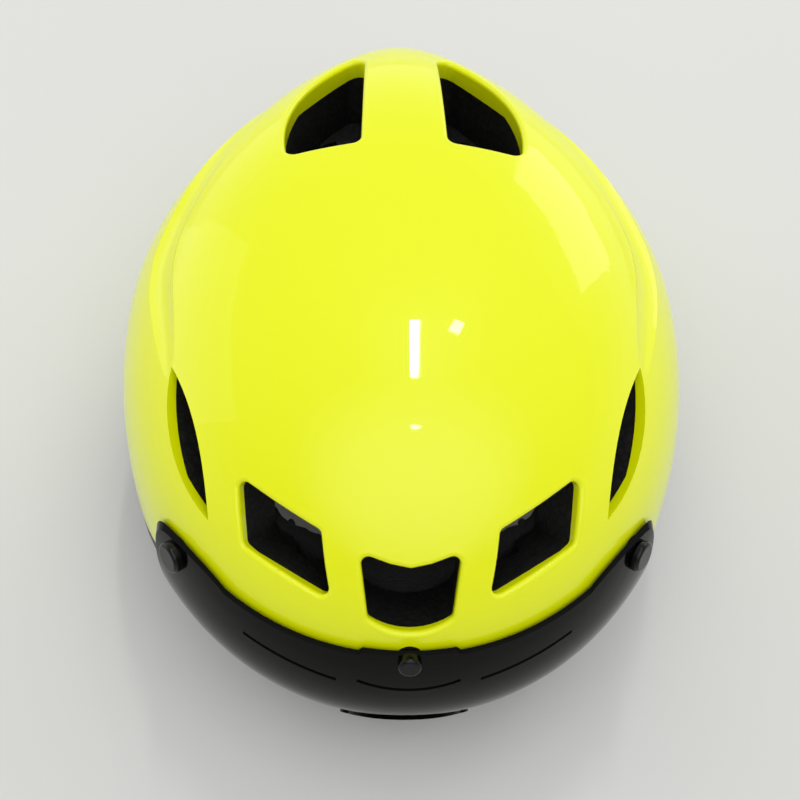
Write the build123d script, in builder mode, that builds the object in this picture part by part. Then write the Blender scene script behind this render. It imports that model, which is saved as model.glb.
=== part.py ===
from build123d import *
from math import acos, cos, pi, radians, sin, tan
import os

os.makedirs("parts", exist_ok=True)

# Frame: millimetres, +Z up. The helmet stands on a table at Z 0 with its front towards -Y.

# Overall form of the shell, an egg whose widest level lies above the table
half_width = 104
front_reach = 133
rear_reach = 143
crown_rise = 90
belly_drop = 117
widest_y = -3.5
widest_z = 60
plan_power = 2.05
crown_power = 2.65
belly_power = 2.2
tail_taper_share = 0.57
tail_taper_power = 2.5

# Head cavity, an egg about the same centre
head_half_width = 79
head_front_reach = 105
head_rear_reach = 98
head_crown_rise = 65
head_plan_power = 2.2

# Walls of the shell
shell_thickness = 1.2
front_lip_depth = 2.8
rear_lip_depth = 6.5
rim_trim_height = 7
rim_cover = 1.2
vent_edge_radius = 1.5

# Rim seen from the side, from the brow to the tail tip, and the arch over the nape
brow_rim_z = 72
rim_y_shares = (-1.2, -0.74, -0.42, 0, 0.36, 0.62, 0.73, 0.9, 1.2)
rim_z_shares = (1, 1, 0.7, 0.42, 0.27, 0, 0, 0.4, 0.9)
rim_radius = 18
nape_half_width = 37
nape_height = 40
nape_drop = 7

# Visor lens, which hugs the brow and leans back towards the cheeks
lens_gap = 1.5
lens_thickness = 1.8
lens_half_width = 85.5
lens_height = 98.4

# Cross-sections of the egg forms
station_count = 11
crown_points = 9
front_end_angle = 84
rear_end_angle = 84
wall_drop = 70
wall_shares = (1, 0.5)
shell_span = 2 * (front_reach + rear_reach)
slope_step = half_width / 500

# General clearances and overruns
overrun = 30
running_gap = 0.3
soft_gap = 0.3
fit_gap = 0.05

# Wearer's left is +X
sides = {"left": 1, "right": -1}


def save(piece, label):
    piece.part.label = label
    export_step(piece.part, "parts/" + label + ".step")


# Shared egg forms
def egg_form(wide, front, rear, crown, plan_bend, taper):
    return {
        "wide": wide,
        "front": front,
        "rear": rear,
        "crown": crown,
        "belly": belly_drop,
        "plan_power": plan_bend,
        "taper": taper,
    }


shell_form = egg_form(
    half_width, front_reach, rear_reach, crown_rise, plan_power, tail_taper_share
)
head_form = egg_form(
    head_half_width, head_front_reach, head_rear_reach, head_crown_rise, head_plan_power, 0
)


def narrowing(form, back_share):
    return 1 - form["taper"] * max(0, back_share) ** tail_taper_power


def profile_height(form, x_share, y_share, rise, power):
    bend = form["plan_power"]
    spread = (abs(x_share) ** bend + abs(y_share) ** bend) ** (power / bend)
    return rise * max(0, 1 - spread) ** (1 / power)


def surface_height(form, x, y, inset=0):
    reach = (form["rear"] if y > widest_y else form["front"]) - inset
    y_share = (y - widest_y) / reach
    x_share = x / narrowing(form, y_share) / (form["wide"] - inset)
    rise = form["crown"] - inset
    return widest_z + profile_height(form, x_share, y_share, rise, crown_power)


def surface_facing(form, x, y):
    ahead, behind = x + slope_step, x - slope_step
    slope_x = surface_height(form, ahead, y) - surface_height(form, behind, y)
    ahead, behind = y + slope_step, y - slope_step
    slope_y = surface_height(form, x, ahead) - surface_height(form, x, behind)
    return Vector(-slope_x, -slope_y, 2 * slope_step).normalized()


def level_share(form, z, inset=0):
    rise = (form["crown"] if z > widest_z else form["belly"]) - inset
    power = crown_power if z > widest_z else belly_power
    return (1 - (abs(z - widest_z) / rise) ** power) ** (1 / power)


def front_point(form, x, z, inset=0):
    bend = form["plan_power"]
    x_share = abs(x) / (form["wide"] - inset)
    depth = (level_share(form, z, inset) ** bend - x_share**bend) ** (1 / bend)
    return Vector(x, widest_y - (form["front"] - inset) * depth, z)


# Plane that lies on the front of the shell and looks outward
def front_plane(x, z):
    left, right = x + slope_step, x - slope_step
    across = front_point(shell_form, left, z) - front_point(shell_form, right, z)
    high, low = z + slope_step, z - slope_step
    upward = front_point(shell_form, x, high) - front_point(shell_form, x, low)
    facing = across.cross(upward).normalized()
    level = Vector(0, 0, 1).cross(facing)
    return Plane(origin=front_point(shell_form, x, z), x_dir=level, z_dir=facing)


# Cross-section of an egg: a wall below its widest level, the crown, and the other wall
def section_points(form, inset, y_share):
    bend = form["plan_power"]
    widest_share = (1 - abs(y_share) ** bend) ** (1 / bend)
    half = (form["wide"] - inset) * narrowing(form, y_share)
    walls = []
    for wall_share in wall_shares:
        depth = wall_share * wall_drop
        walls.append((widest_share * half * level_share(form, widest_z - depth, inset), depth))
    crown = []
    for index in range(crown_points):
        x_share = -widest_share * cos(pi * index / (crown_points - 1))
        inner = 0 < index < crown_points - 1
        rise = form["crown"] - inset
        height = profile_height(form, x_share, y_share, rise, crown_power) if inner else 0
        crown.append((x_share * half, widest_z + height))
    left_wall = [(-x, widest_z - depth) for x, depth in walls]
    right_wall = [(x, widest_z - depth) for x, depth in reversed(walls)]
    return left_wall + crown + right_wall


# An egg from cross-sections, smooth where it shows and ruled between them where it is hidden
def egg_solid(form, inset, is_ruled):
    with BuildPart() as egg:
        for station in range(station_count):
            share = station / (station_count - 1)
            turn = radians(-front_end_angle + (front_end_angle + rear_end_angle) * share)
            y_share = sin(turn)
            reach = (form["rear"] if y_share > 0 else form["front"]) - inset
            points = section_points(form, inset, y_share)
            with BuildSketch(Plane.XZ.offset(-widest_y - reach * y_share)):
                with BuildLine():
                    Spline(*points)
                    Line(points[-1], points[0])
                make_face()
        loft(ruled=is_ruled)
    return egg.part


# Space above the rim line, raised by a lift
def above_rim(lift):
    rim = []
    for y_share, z_share in zip(rim_y_shares, rim_z_shares):
        reach = rear_reach if y_share > 0 else front_reach
        rim.append((widest_y + y_share * reach, z_share * brow_rim_z + lift))
    roof = widest_z + crown_rise + overrun
    with BuildPart() as region:
        with BuildSketch(Plane.YZ):
            with BuildLine():
                FilletPolyline(*rim, radius=rim_radius)
                Polyline(rim[-1], (rim[-1][0], roof), (rim[0][0], roof), rim[0])
            make_face()
        extrude(amount=half_width + overrun, both=True)
        with BuildSketch(Plane.XZ.offset(-widest_y)):
            with Locations((0, -nape_drop)):
                Ellipse(nape_half_width + lift, nape_height + nape_drop + lift)
        extrude(amount=-rear_reach - overrun, mode=Mode.SUBTRACT)
    return region.part


# Vents: centre in shares of the half width and front reach, facing in degrees from -Y and
# from the horizontal, outline in shares of the vent's length
slot_length = 52
slot_centre_share = (0.702, -0.5)
slot_facing = (62, 39)
slot_inner_shares = ((0.542, 0.183), (0.03, 0.135), (-0.454, -0.171))
slot_outer_shares = ((-0.454, -0.171), (0.03, -0.13), (0.542, 0.183))

brow_vent_length = 44
brow_vent_centre_share = (0.413, -0.733)
brow_vent_facing = (32, 43)
brow_vent_shares = ((0.43, 0.18), (-0.32, 0.13), (-0.58, -0.32), (0.18, -0.26))
brow_vent_corner = 2.5

nose_vent_length = 32
nose_vent_centre_share = (0, -0.891)
nose_vent_facing = (0, 38)
nose_vent_top_shares = ((-0.5, 0.43), (-0.2, 0.33), (0, 0.29), (0.2, 0.33), (0.5, 0.43))
nose_vent_low_shares = ((0.42, -0.24), (0, -0.4), (-0.42, -0.24))
nose_vent_corner = 2.5

rear_vent_inner_shares = ((0.131, 0.745), (0.149, 0.311), (0.4, 0.283))
rear_vent_outer_shares = ((0.4, 0.283), (0.345, 0.575), (0.131, 0.745))
rear_vent_corner = 4
rear_vent_floor = 36
vent_depth = 42


def scaled(points, length):
    return [(x * length, y * length) for x, y in points]


def surface_point(x, y):
    return Vector(x, y, surface_height(shell_form, x, y))


def vent_plane(centre_share, facing):
    turn = radians(facing[0])
    rise = radians(facing[1])
    x = centre_share[0] * half_width
    y = widest_y + centre_share[1] * front_reach
    out = Vector(sin(turn) * cos(rise), -cos(turn) * cos(rise), sin(rise))
    across = Vector(0, 0, 1).cross(out)
    plane = Plane(origin=surface_point(x, y), x_dir=across, z_dir=out)
    return plane.offset(-vent_depth)


def side_slot(growth):
    with BuildPart() as cutter:
        with BuildSketch(vent_plane(slot_centre_share, slot_facing)):
            with BuildLine():
                ThreePointArc(*scaled(slot_inner_shares, slot_length))
                ThreePointArc(*scaled(slot_outer_shares, slot_length))
            make_face()
            if growth:
                offset(amount=growth)
        extrude(amount=vent_depth + overrun)
    return cutter.part


def brow_vent(growth):
    with BuildPart() as cutter:
        with BuildSketch(vent_plane(brow_vent_centre_share, brow_vent_facing)):
            with BuildLine():
                Polyline(*scaled(brow_vent_shares, brow_vent_length), close=True)
            make_face()
            fillet(vertices(), brow_vent_corner)
            if growth:
                offset(amount=growth)
        extrude(amount=vent_depth + overrun)
    return cutter.part


def nose_vent(growth):
    top = scaled(nose_vent_top_shares, nose_vent_length)
    low = scaled(nose_vent_low_shares, nose_vent_length)
    with BuildPart() as cutter:
        with BuildSketch(vent_plane(nose_vent_centre_share, nose_vent_facing)):
            with BuildLine():
                Polyline(*top)
                Line(top[-1], low[0])
                ThreePointArc(*low)
                Line(low[-1], top[0])
            make_face()
            fillet(vertices().group_by(Axis.Z)[0], nose_vent_corner)
            if growth:
                offset(amount=growth)
        extrude(amount=vent_depth + overrun)
    return cutter.part


def rear_vent(growth):
    def spread(points):
        return [(x * half_width, widest_y + y * rear_reach) for x, y in points]

    with BuildPart() as cutter:
        with BuildSketch(Plane.XY.offset(widest_z + rear_vent_floor)):
            with BuildLine():
                Polyline(*spread(rear_vent_inner_shares))
                ThreePointArc(*spread(rear_vent_outer_shares))
            make_face()
            fillet(vertices(), rear_vent_corner)
            if growth:
                offset(amount=growth)
        extrude(amount=crown_rise)
    return cutter.part


# Hollow channel along each flank, from the side slot to the tail
channel_radius = 15
channel_plan_shares = (
    (0.77, -0.32),
    (0.815, -0.07),
    (0.82, 0.09),
    (0.765, 0.22),
    (0.635, 0.44),
    (0.46, 0.65),
    (0.32, 0.8),
)
channel_depth_shares = (0, 0.75, 1, 1, 1, 0.8, -0.5)
channel_depth = 2.6


def flank_channel(growth):
    middle = []
    for (x_share, y_share), depth_share in zip(channel_plan_shares, channel_depth_shares):
        reach = rear_reach if y_share > 0 else front_reach
        x = x_share * half_width
        y = widest_y + y_share * reach
        rise = channel_radius - depth_share * channel_depth
        middle.append(surface_point(x, y) + surface_facing(shell_form, x, y) * rise)
    with BuildPart() as tool:
        with BuildLine():
            path = Spline(*middle)
        with BuildSketch(Plane(origin=path @ 0, z_dir=path % 0)):
            Circle(channel_radius + growth)
        sweep()
    return tool.part


# Edge where a vent breaks through the outer surface
def on_surface(edge):
    middle = edge.position_at(1 / 2)
    return abs(surface_height(shell_form, middle.X, middle.Y) - middle.Z) < shell_thickness / 2


# Solid helmet body with rounded vent edges, cut on its left half and mirrored
with BuildPart() as body:
    add(egg_solid(shell_form, 0, False))
    add(above_rim(0), mode=Mode.INTERSECT)
    split(bisect_by=Plane.YZ)
    for cutter in (brow_vent, rear_vent):
        add(cutter(0), mode=Mode.SUBTRACT)
        fillet(body.edges(Select.LAST).filter_by(on_surface), vent_edge_radius)
    for cutter in (side_slot, flank_channel):
        add(cutter(0), mode=Mode.SUBTRACT)
    mirror(about=Plane.YZ)
    add(nose_vent(0), mode=Mode.SUBTRACT)
    fillet(body.edges(Select.LAST).filter_by(on_surface), vent_edge_radius)

# The same body without its skin
with BuildPart() as core:
    add(egg_solid(shell_form, shell_thickness, True))
    add(above_rim(rim_cover), mode=Mode.INTERSECT)
    split(bisect_by=Plane.YZ)
    for cutter in (nose_vent, brow_vent, rear_vent, side_slot, flank_channel):
        add(cutter(shell_thickness), mode=Mode.SUBTRACT)
    mirror(about=Plane.YZ)

# Where the glossy skin stops inside the vents, deeper at the rear
with BuildPart() as inside_lips:
    add(egg_solid(shell_form, front_lip_depth, True))
    with BuildSketch(Plane.XZ.offset(-widest_y)):
        Rectangle(shell_span, shell_span)
    extrude(amount=-shell_span, mode=Mode.SUBTRACT)
    add(egg_solid(shell_form, rear_lip_depth, True))

head_egg = egg_solid(head_form, 0, True)

# Magnet fittings: place on the front (x, z) and size share of each
magnet_x = 75.5
magnet_z = 90
centre_magnet_z = 94.5
magnet_spots = {
    "left": (magnet_x, magnet_z, 1),
    "right": (-magnet_x, magnet_z, 1),
    "centre": (0, centre_magnet_z, 0.7),
}
cup_radius = 6
cup_depth = 4.5
cup_recess = 0.2
magnet_radius = 4.2
magnet_depth = 2.6
cap_stem_radius = 4
cap_head_radius = 5.5
cap_stem_gap = 0.5
cap_height = 6
cap_edge_radius = 1.2


# A disc on the front, between two heights over the shell
def front_disc(name, radius, low, high):
    x, z, size_share = magnet_spots[name]
    with BuildPart() as disc:
        with BuildSketch(front_plane(x, z).offset(low)):
            Circle(radius * size_share)
        extrude(amount=high - low)
    return disc.part


cup_low = -cup_depth - cup_recess
for name in magnet_spots:
    with BuildPart() as magnet:
        add(front_disc(name, magnet_radius, -cup_recess - magnet_depth, -cup_recess))
    with BuildPart() as cup:
        add(front_disc(name, cup_radius, cup_low, -cup_recess))
        chamfer(cup.edges().filter_by(GeomType.CIRCLE), cup_recess)
        add(magnet.part, mode=Mode.SUBTRACT)
    save(cup, "magnet_cup_" + name)
    save(magnet, "shell_magnet_" + name)


# Straps, and the tabs that hold them in the foam
strap_width = 14
strap_thickness = 1.2
anchor_thickness = 6
anchor_length = 12
anchor_height = 26
front_anchor = (85, -44, 42)
rear_anchor = (77, 52, 16)
divider_place = (74, 2, 13)
divider_thickness = 5
divider_length = 24
divider_height = 20
strap_drop = 5.5

# Axis on which the headband swings, at the temples
temple_height = 38
hinge_y = 10


def anchor_tab(place, side):
    x, y, z = place
    with BuildPart() as tab:
        with BuildSketch(Plane.YZ.offset(x * side)):
            with Locations((y, z)):
                RectangleRounded(anchor_length, anchor_height, anchor_thickness / 2)
        extrude(amount=anchor_thickness / 2, both=True)
    return tab.part


# Fit system at the nape: housing with two channels, cover, racks, pinion and dial
housing_width = 62
housing_height = 36
housing_corner = 12
housing_front = 69
housing_depth = 8
housing_floor = 2
cover_thickness = 2
channel_inner = 3.9
channel_outer = 11.4
gear_module = 1
pinion_teeth = 10
pressure_angle = 20
rack_addendum = 0.6
tooth_backlash = 0.2
pinion_tip = 0.8
pinion_root = 1.05
pinion_clearance = 0.5
axle_radius = 4
dial_radius = 17
dial_depth = 9.6
dial_gap = 0.4
scallops = 12
scallop_radius = 2.6
drive_width = 5
screw_head_radius = 3.5
screw_head_depth = 2
screw_radius = 1.25
screw_length = 9
cover_screw_x = 21
cover_screw_head = 2.4
cover_screw_sink = 1.2
rack_reach = 12
rack_tail = 40
rack_head_width = 3
rack_side_teeth = 3
arm_thickness = 1.6
arm_height = 12
arm_temple_x = 73.5
arm_bow_shares = ((0.76, 0.88), (0.9, 0.62), (0.985, 0.27))
running_fit = 0.08
pin_radius = 2.5
pin_head_radius = 4.5
pin_head_depth = 1.6
pin_sunk = 6
pitch_radius = gear_module * pinion_teeth / 2
channel_floor = housing_front + housing_floor
housing_back = housing_front + housing_depth
rack_front = channel_floor + running_gap
rack_back = housing_back - running_gap
cover_back = housing_back + cover_thickness
dial_front = cover_back + dial_gap
arm_y = (rack_front + rack_back) / 2


# A plane about the dial's axis that faces backward; turned, its x points left and its y down
def dial_plane(y, is_turned=False):
    level = 1 if is_turned else -1
    return Plane(origin=(0, y, temple_height), x_dir=(level, 0, 0), z_dir=(0, 1, 0))


# Hanger: a curved strip about the temple axis in a clip on the foam
hanger_radius = 77
hanger_thickness = 1.5
hanger_width = 12
hanger_start = 16
hanger_sweep = 22
hanger_foot = 3.2
hanger_gap = 0.35
clip_front = 73.5
clip_back = 96
clip_low = 70
clip_height = 8
clip_width = 20


def hanger_arc(radius_growth, start, sweep, half_wide):
    inner = hanger_radius - hanger_thickness - radius_growth
    outer = hanger_radius + radius_growth
    with BuildPart() as arc:
        with BuildSketch(Plane.YZ):
            with BuildLine():
                low = CenterArc((hinge_y, temple_height), inner, start, sweep)
                high = CenterArc((hinge_y, temple_height), outer, start, sweep)
                Line(low @ 0, high @ 0)
                Line(low @ 1, high @ 1)
            make_face()
        extrude(amount=half_wide, both=True)
    return arc.part


with BuildPart() as hanger_clip:
    with BuildSketch(Plane.XY.offset(clip_low)):
        with Locations((0, (clip_front + clip_back) / 2)):
            Rectangle(clip_width, clip_back - clip_front)
    extrude(amount=clip_height)
    fillet(hanger_clip.edges().filter_by(Axis.Z).group_by(Axis.Y)[0], hanger_thickness)
    slot = hanger_arc(hanger_gap, 0, 2 * (hanger_start + hanger_sweep), hanger_width / 2 + hanger_gap)
    add(slot, mode=Mode.SUBTRACT)
save(hanger_clip, "hanger_clip")

# Outer shell: the glossy skin with its lips turned into the vents
with BuildPart() as skin:
    add(body.part)
    add(core.part, mode=Mode.SUBTRACT)

with BuildPart() as outer_shell:
    add(skin.part)
    add(above_rim(rim_trim_height), mode=Mode.INTERSECT)
    add(inside_lips.part, mode=Mode.SUBTRACT)
    for name in magnet_spots:
        add(front_disc(name, cup_radius, cup_low, cup_depth), mode=Mode.SUBTRACT)
save(outer_shell, "outer_shell")

# Matte trim along the lower rim
with BuildPart() as lower_trim:
    add(skin.part)
    add(above_rim(rim_trim_height), mode=Mode.SUBTRACT)
    add(head_egg, mode=Mode.SUBTRACT)
    for side in sides.values():
        add(anchor_tab(front_anchor, side), mode=Mode.SUBTRACT)
        add(anchor_tab(rear_anchor, side), mode=Mode.SUBTRACT)
save(lower_trim, "lower_trim")


# A disc on the temple axis, between two distances from the middle
def temple_disc(side, radius, low, high):
    with BuildPart() as disc:
        with BuildSketch(Plane.YZ.offset(low * side)):
            with Locations((hinge_y, temple_height)):
                Circle(radius)
        extrude(amount=(high - low) * side)
    return disc.part


# Temple pins, on which the headband swings
pin_shoulder = arm_temple_x - arm_thickness / 2 - fit_gap
for name, side in sides.items():
    with BuildPart() as temple_pin:
        add(temple_disc(side, pin_head_radius, pin_shoulder - pin_head_depth, pin_shoulder))
        add(temple_disc(side, pin_radius, pin_shoulder, head_half_width + pin_sunk))
    save(temple_pin, "temple_pin_" + name)

# Energy-absorbing foam with air channels over the head
air_channel_width = 12
air_channel_depth = 7
air_channel_length = 196
air_channel_places = (0, 31, -31)

with BuildPart() as air_channels:
    with BuildSketch(Plane.XY.offset(widest_z + air_channel_width)):
        with Locations(*[(x, 0) for x in air_channel_places]):
            Rectangle(air_channel_width, air_channel_length)
    extrude(amount=crown_rise)
    add(egg_solid(head_form, -air_channel_depth, True), mode=Mode.INTERSECT)

with BuildPart() as eps_liner:
    add(core.part)
    add(head_egg, mode=Mode.SUBTRACT)
    add(air_channels.part, mode=Mode.SUBTRACT)
    for name in magnet_spots:
        add(front_disc(name, cup_radius, cup_low, cup_depth), mode=Mode.SUBTRACT)
    for side in sides.values():
        add(temple_disc(side, pin_radius, pin_shoulder, head_half_width + pin_sunk), mode=Mode.SUBTRACT)
        add(anchor_tab(front_anchor, side), mode=Mode.SUBTRACT)
        add(anchor_tab(rear_anchor, side), mode=Mode.SUBTRACT)
    add(hanger_clip.part, mode=Mode.SUBTRACT)
save(eps_liner, "eps_liner")

# Comfort pads on the inside of the foam
pad_thickness = 5
pad_corner = 8
pad_edge = 1.2
brow_pad_width = 104
brow_pad_low = 74
brow_pad_height = 20
crown_pad_width = 26
crown_pad_length = 110
crown_side_pad_x = 40
crown_side_pad_width = 22
crown_side_pad_length = 84
crown_pad_y = -2


# A pad that follows the head cavity, cut by the prism of its outline
def pad(plane, places, width, length, reach):
    with BuildPart() as soft:
        with BuildSketch(plane):
            with Locations(places):
                RectangleRounded(width, length, pad_corner)
        extrude(amount=reach)
        add(pad_outer, mode=Mode.INTERSECT)
        add(pad_inner, mode=Mode.SUBTRACT)
    return soft


pad_outer = egg_solid(head_form, soft_gap, True)
pad_inner = egg_solid(head_form, soft_gap + pad_thickness, True)
brow_plane = Plane.XZ.offset(-widest_y)
brow_place = (0, brow_pad_low + brow_pad_height / 2)
save(pad(brow_plane, brow_place, brow_pad_width, brow_pad_height, front_reach), "brow_pad")
crown_plane = Plane.XY.offset(widest_z)
crown_place = (0, crown_pad_y)
save(pad(crown_plane, crown_place, crown_pad_width, crown_pad_length, crown_rise), "crown_pad")
for name, side in sides.items():
    place = (crown_side_pad_x * side, crown_pad_y)
    side_pad = pad(crown_plane, place, crown_side_pad_width, crown_side_pad_length, crown_rise)
    save(side_pad, "crown_side_pad_" + name)

# Visor lens: sections at shares of its height, narrowed by shares of the brow's plan
lens_z_shares = (-0.05, 0.05, 0.25, 0.46, 0.61)
lens_lean_shares = (0.8, 0.83, 0.89, 0.95, 0.988)
lens_brow_z_shares = (0.73, 0.87, 1.04)
lens_wrap = 64
lens_points = 9
lens_side_shares = (
    (0.7, 0.984),
    (0.87, 0.996),
    (0.97, 0.945),
    (1, 0.855),
    (0.97, 0.61),
    (0.9, 0.386),
    (0.78, 0.152),
    (0.64, 0.02),
    (0.515, 0),
    (0.4, 0.05),
    (0.3, 0.203),
    (0.228, 0.366),
    (0.117, 0.457),
    (0, 0.483),
)
lens_tab_half_width = 15
lens_tab_step = 1.4
slit_height = 1.5
centre_slit_shares = ((-0.197, 0.86), (0, 0.83), (0.197, 0.86))
side_slit_shares = ((0.276, 0.842), (0.45, 0.858), (0.633, 0.872))


def lens_shares():
    shares = [(z * lens_height, lean) for z, lean in zip(lens_z_shares, lens_lean_shares)]
    for z_share in lens_brow_z_shares:
        shares.append((z_share * lens_height, level_share(shell_form, z_share * lens_height)))
    return shares


# Curve of the lens in plan, at an offset from the shell
def lens_curve(share, gap):
    points = []
    for index in range(lens_points):
        turn = radians(lens_wrap * (2 * index / (lens_points - 1) - 1))
        across = abs(sin(turn)) ** (2 / plan_power) * (1 if turn > 0 else -1)
        ahead = cos(turn) ** (2 / plan_power)
        x = across * (half_width + gap) * share
        points.append((x, widest_y - ahead * (front_reach + gap) * share))
    return points


def lens_blank(growth):
    with BuildPart() as blank:
        for z, share in lens_shares():
            inner = lens_curve(share, lens_gap - growth)
            outer = lens_curve(share, lens_gap + lens_thickness + growth)
            with BuildSketch(Plane.XY.offset(z)):
                with BuildLine():
                    Spline(*inner)
                    Line(inner[-1], outer[-1])
                    Spline(*outer)
                    Line(outer[0], inner[0])
                make_face()
        loft()
    return blank.part


def front_shares(points):
    return [(x * lens_half_width, z * lens_height) for x, z in points]


# The edge of the lens over the nose, and the band that trims it
nose_arch_shares = (
    (-0.228, 0.366),
    (-0.117, 0.457),
    (0, 0.483),
    (0.117, 0.457),
    (0.228, 0.366),
)
nose_trim_width = 4
nose_trim_growth = 1.4
nose_trim_end_radius = 3.2

with BuildPart() as lens:
    with BuildSketch(Plane.XZ):
        with BuildLine():
            side_line = front_shares(lens_side_shares)
            Polyline(
                (0, lens_height),
                (lens_tab_half_width, lens_height),
                (lens_tab_half_width + lens_tab_step, lens_height - lens_tab_step),
                side_line[0],
            )
            Spline(*side_line)
            mirror(about=Plane.YZ)
        make_face()
    extrude(amount=front_reach + overrun)
    split(bisect_by=Plane.XY)
    add(lens_blank(0), mode=Mode.INTERSECT)
    for slit_shares, slit_sides in ((centre_slit_shares, (1,)), (side_slit_shares, (1, -1))):
        for side in slit_sides:
            with BuildSketch(Plane.XZ):
                with BuildLine():
                    Spline(*[(x * side, z) for x, z in front_shares(slit_shares)])
                trace(line_width=slit_height)
            extrude(amount=front_reach + overrun, mode=Mode.SUBTRACT)
    for name in magnet_spots:
        add(front_disc(name, cap_stem_radius + fit_gap, 0, cap_height), mode=Mode.SUBTRACT)
save(lens, "visor_lens")

with BuildPart() as nose_trim:
    with BuildSketch(Plane.XZ):
        with BuildLine():
            arch = Spline(*front_shares(nose_arch_shares))
        trace(line_width=nose_trim_width)
        with Locations(arch @ 0, arch @ 1):
            Circle(nose_trim_end_radius)
    extrude(amount=front_reach + overrun)
    add(lens_blank(nose_trim_growth), mode=Mode.INTERSECT)
    add(lens.part, mode=Mode.SUBTRACT)
save(nose_trim, "nose_trim")

# Caps that carry the visor's magnets through the lens
cap_head_low = lens_gap + lens_thickness / 2
for name in magnet_spots:
    stem_magnet = cap_stem_radius - fit_gap - pad_edge
    with BuildPart() as cap_magnet:
        add(front_disc(name, stem_magnet, cap_stem_gap, cap_stem_gap + magnet_depth))
    with BuildPart() as cap:
        add(front_disc(name, cap_head_radius, cap_head_low, cap_height))
        fillet(cap.faces().sort_by(Axis.Y)[0].edges(), cap_edge_radius)
        add(lens.part, mode=Mode.SUBTRACT)
        add(front_disc(name, cap_stem_radius, cap_stem_gap, cap_height - cap_edge_radius))
        add(cap_magnet.part, mode=Mode.SUBTRACT)
    save(cap, "visor_cap_" + name)
    save(cap_magnet, "visor_magnet_" + name)

# Housing of the fit system
with BuildPart() as dial_housing:
    with BuildSketch(dial_plane(housing_front)):
        RectangleRounded(housing_width, housing_height, housing_corner)
    extrude(amount=housing_depth)
    fillet(dial_housing.faces().sort_by(Axis.Y)[0].edges(), housing_floor / 2)
    with BuildSketch(dial_plane(channel_floor)):
        with Locations((0, (channel_inner + channel_outer) / 2), (0, -(channel_inner + channel_outer) / 2)):
            Rectangle(housing_width, channel_outer - channel_inner)
        Circle(pitch_radius + pinion_tip + pinion_clearance)
    extrude(amount=housing_depth, mode=Mode.SUBTRACT)
    with BuildSketch(dial_plane(housing_back)):
        with GridLocations(2 * cover_screw_x, channel_outer + housing_height / 2, 2, 2):
            Circle(screw_radius)
    extrude(amount=housing_floor - housing_depth, mode=Mode.SUBTRACT)
save(dial_housing, "dial_housing")

with BuildPart() as cover_screws:
    with BuildSketch(dial_plane(cover_back)):
        with GridLocations(2 * cover_screw_x, channel_outer + housing_height / 2, 2, 2):
            Circle(cover_screw_head)
    extrude(amount=-cover_screw_sink)
    with BuildSketch(dial_plane(cover_back)):
        with GridLocations(2 * cover_screw_x, channel_outer + housing_height / 2, 2, 2):
            Circle(screw_radius)
    extrude(amount=housing_floor - housing_depth - cover_thickness)
save(cover_screws, "cover_screws")

with BuildPart() as dial_cover:
    with BuildSketch(dial_plane(housing_back)):
        RectangleRounded(housing_width, housing_height, housing_corner)
        Circle(axle_radius + running_fit, mode=Mode.SUBTRACT)
    extrude(amount=cover_thickness)
    add(cover_screws.part, mode=Mode.SUBTRACT)
save(dial_cover, "dial_cover")


# Rack with its teeth towards the pinion and its head at the end of an arm
def rack(is_turned):
    pitch = pi * gear_module
    slope = tan(radians(pressure_angle))
    half_tooth = pitch / 4 - tooth_backlash / 2
    root = pitch_radius + gear_module
    tip = pitch_radius - rack_addendum
    top = channel_outer - running_gap
    with BuildPart() as bar:
        with BuildSketch(dial_plane(rack_front, is_turned)):
            with BuildLine():
                Polyline(
                    (-rack_reach, root),
                    (rack_tail, root),
                    (rack_tail, -arm_height / 2),
                    (rack_tail + rack_head_width, -arm_height / 2),
                    (rack_tail + rack_head_width, top),
                    (-rack_reach, top),
                    close=True,
                )
            make_face()
            for tooth in range(-rack_side_teeth, rack_side_teeth + 1):
                with Locations((tooth * pitch, 0)):
                    Polygon(
                        (-half_tooth - gear_module * slope, root),
                        (-half_tooth + rack_addendum * slope, tip),
                        (half_tooth - rack_addendum * slope, tip),
                        (half_tooth + gear_module * slope, root),
                        align=None,
                    )
        extrude(amount=rack_back - rack_front)
    return bar


save(rack(True), "rack_left")
save(rack(False), "rack_right")


# Pinion with involute flanks on an axle that turns in the cover
def involute(radius):
    turn = acos(min(1, base_radius / radius))
    return tan(turn) - turn


base_radius = pitch_radius * cos(radians(pressure_angle))
tip_radius = pitch_radius + pinion_tip
root_radius = pitch_radius - pinion_root
flank_radii = (root_radius, base_radius, pitch_radius, tip_radius)
half_turn = (pi * gear_module / 4 - tooth_backlash / 2) / pitch_radius
drive_depth = dial_depth - screw_head_depth - housing_floor


def gear_outline():
    points = []
    for tooth in range(pinion_teeth):
        middle = 2 * pi * tooth / pinion_teeth
        spread = [half_turn + involute(pitch_radius) - involute(radius) for radius in flank_radii]
        for radius, turn in zip(flank_radii, spread):
            points.append((radius * cos(middle - turn), radius * sin(middle - turn)))
        for radius, turn in zip(reversed(flank_radii), reversed(spread)):
            points.append((radius * cos(middle + turn), radius * sin(middle + turn)))
    return points


with BuildPart() as dial_screw:
    with BuildSketch(dial_plane(dial_front + dial_depth)):
        Circle(screw_head_radius)
    extrude(amount=-screw_head_depth)
    with BuildSketch(dial_plane(dial_front + dial_depth)):
        Circle(screw_radius)
    extrude(amount=-screw_length)
save(dial_screw, "dial_screw")

with BuildPart() as dial_pinion:
    with BuildSketch(dial_plane(rack_front)):
        with BuildLine():
            Polyline(*gear_outline(), close=True)
        make_face()
    extrude(amount=rack_back - rack_front)
    with BuildSketch(dial_plane(rack_back)):
        Circle(axle_radius)
    extrude(amount=dial_front - rack_back)
    with BuildSketch(dial_plane(dial_front)):
        Rectangle(drive_width, drive_width)
    extrude(amount=drive_depth)
    add(dial_screw.part, mode=Mode.SUBTRACT)
save(dial_pinion, "dial_pinion")

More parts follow.
